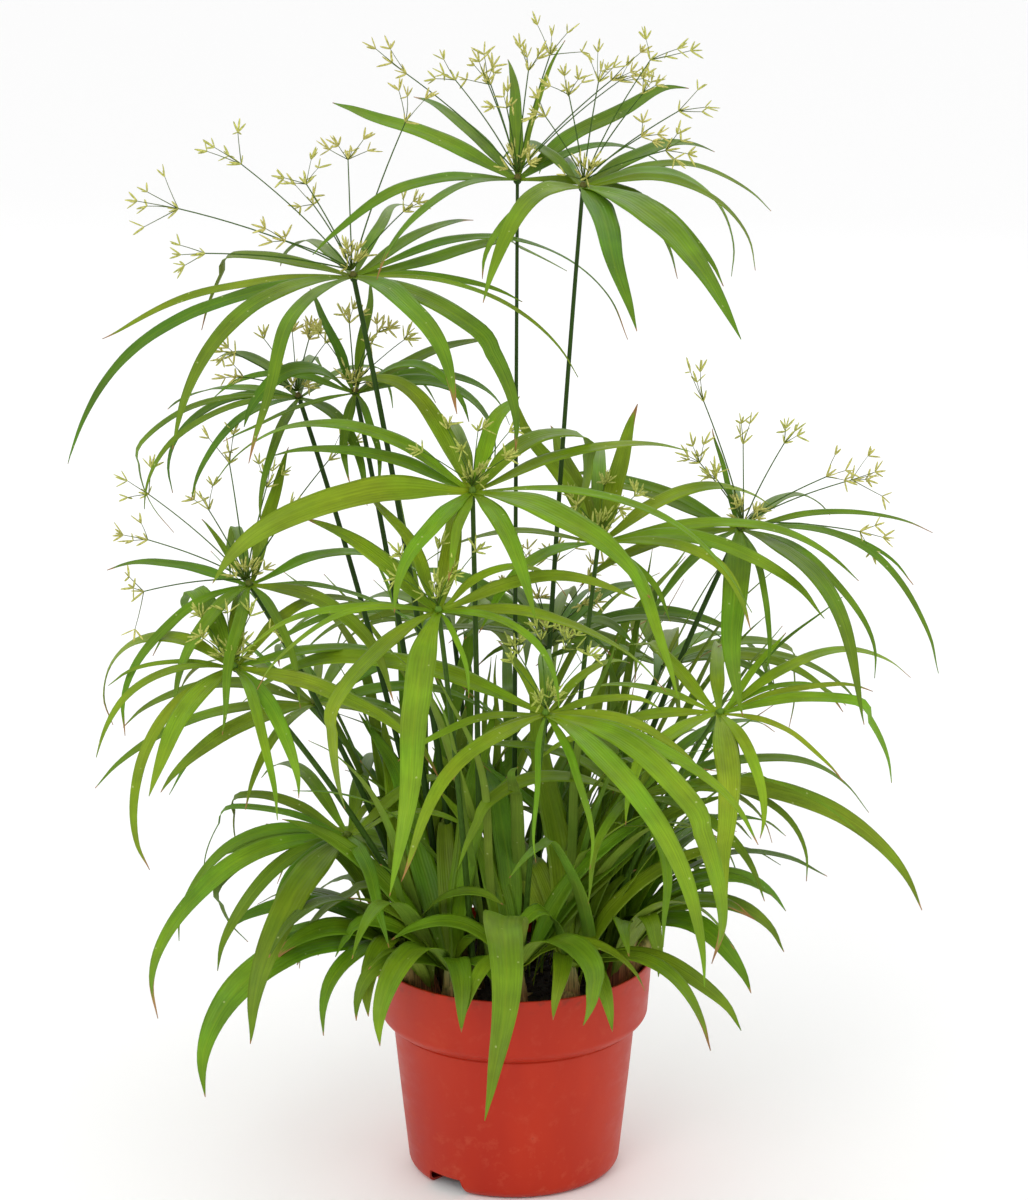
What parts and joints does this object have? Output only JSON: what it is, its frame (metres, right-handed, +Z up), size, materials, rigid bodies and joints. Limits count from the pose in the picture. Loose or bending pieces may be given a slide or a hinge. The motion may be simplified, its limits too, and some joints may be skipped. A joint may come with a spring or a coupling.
{
  "type": "potted papyrus plant",
  "caption": "Umbrella papyrus in a terracotta-coloured plastic nursery pot: tall stems that end in whorls of long arching leaves and airy flower heads, with low young shoots over the rim.",
  "frame": {"origin": "centre of the pot's underside, on the flat centre pad", "axes": "+Z up along the pot's axis, -Y towards the front of the plant, +X to the right seen from the front"},
  "size_m": [0.5163, 0.5335, 0.7074],
  "materials": {
    "terracotta_plastic": "satin injection-moulded polypropylene",
    "peat_soil": "moist fibrous peat, matte",
    "culm_green": "smooth waxy plant stem",
    "leaf_green": "satin leaf with fine parallel veins",
    "young_leaf_green": "satin leaf with fine parallel veins, red-brown sheath at the foot",
    "spikelet_straw": "dry papery scales"
  },
  "bodies": {
    "root": {"pot": "terracotta_plastic", "soil": "peat_soil", "culm_01": "culm_green", "culm_02": "culm_green", "culm_03": "culm_green", "culm_04": "culm_green", "culm_05": "culm_green", "culm_06": "culm_green", "culm_07": "culm_green", "culm_08": "culm_green", "culm_09": "culm_green", "culm_10": "culm_green", "culm_11": "culm_green", "culm_12": "culm_green", "culm_13": "culm_green", "culm_14": "culm_green", "culm_15": "culm_green", "culm_16": "culm_green", "culm_17": "culm_green", "culm_18": "culm_green", "culm_19": "culm_green", "bracts_01": "leaf_green", "bracts_02": "leaf_green", "bracts_03": "leaf_green", "bracts_04": "leaf_green", "bracts_05": "leaf_green", "bracts_06": "leaf_green", "bracts_07": "leaf_green", "bracts_08": "leaf_green", "bracts_09": "leaf_green", "bracts_10": "leaf_green", "bracts_11": "leaf_green", "bracts_12": "leaf_green", "bracts_13": "leaf_green", "bracts_14": "leaf_green", "bracts_15": "leaf_green", "bracts_16": "leaf_green", "bracts_17": "leaf_green", "bracts_18": "leaf_green", "bracts_19": "leaf_green", "umbel_01": "spikelet_straw", "umbel_02": "spikelet_straw", "umbel_03": "spikelet_straw", "umbel_04": "spikelet_straw", "umbel_05": "spikelet_straw", "umbel_06": "spikelet_straw", "umbel_07": "spikelet_straw", "umbel_08": "spikelet_straw", "umbel_09": "spikelet_straw", "umbel_10": "spikelet_straw", "umbel_12": "spikelet_straw", "umbel_13": "spikelet_straw", "umbel_14": "spikelet_straw", "young_shoot_01": "young_leaf_green", "young_shoot_02": "young_leaf_green", "young_shoot_03": "young_leaf_green", "young_shoot_04": "young_leaf_green", "young_shoot_05": "young_leaf_green", "young_shoot_06": "young_leaf_green", "young_shoot_07": "young_leaf_green"}
  },
  "joints": []
}
